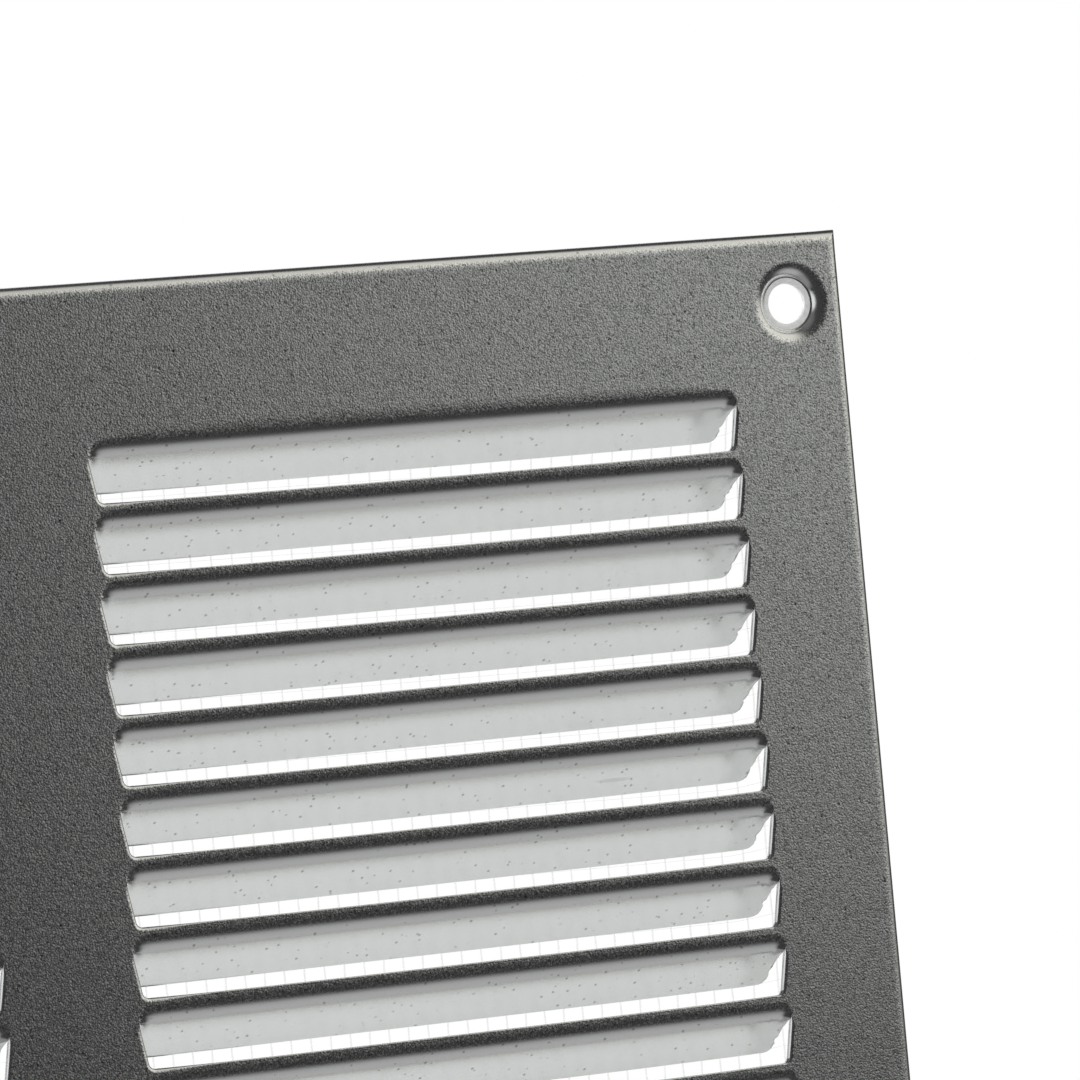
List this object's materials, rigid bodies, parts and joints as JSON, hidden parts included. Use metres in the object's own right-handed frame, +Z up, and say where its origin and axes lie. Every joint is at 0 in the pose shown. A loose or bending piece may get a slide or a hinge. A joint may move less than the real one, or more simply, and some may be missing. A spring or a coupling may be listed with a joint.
{
  "type": "ventilation grille",
  "caption": "Square sheet-steel ventilation grille with pressed louvres, a folded rim, dimpled corner screw holes and an insect net behind.",
  "frame": {"origin": "centre of the four screw holes, in the plane of their seats, where the screw heads bear", "axes": "+X to the right as seen from the front, +Y from the room into the wall, +Z up"},
  "size_m": [0.2, 0.006, 0.2],
  "materials": {
    "steel_sheet": "bare rolled sheet, satin, with a fine mottled grain",
    "net_strand": "thin milky white strand"
  },
  "bodies": {
    "root": {"louvred_plate": "steel_sheet", "insect_net": "net_strand"}
  },
  "joints": []
}
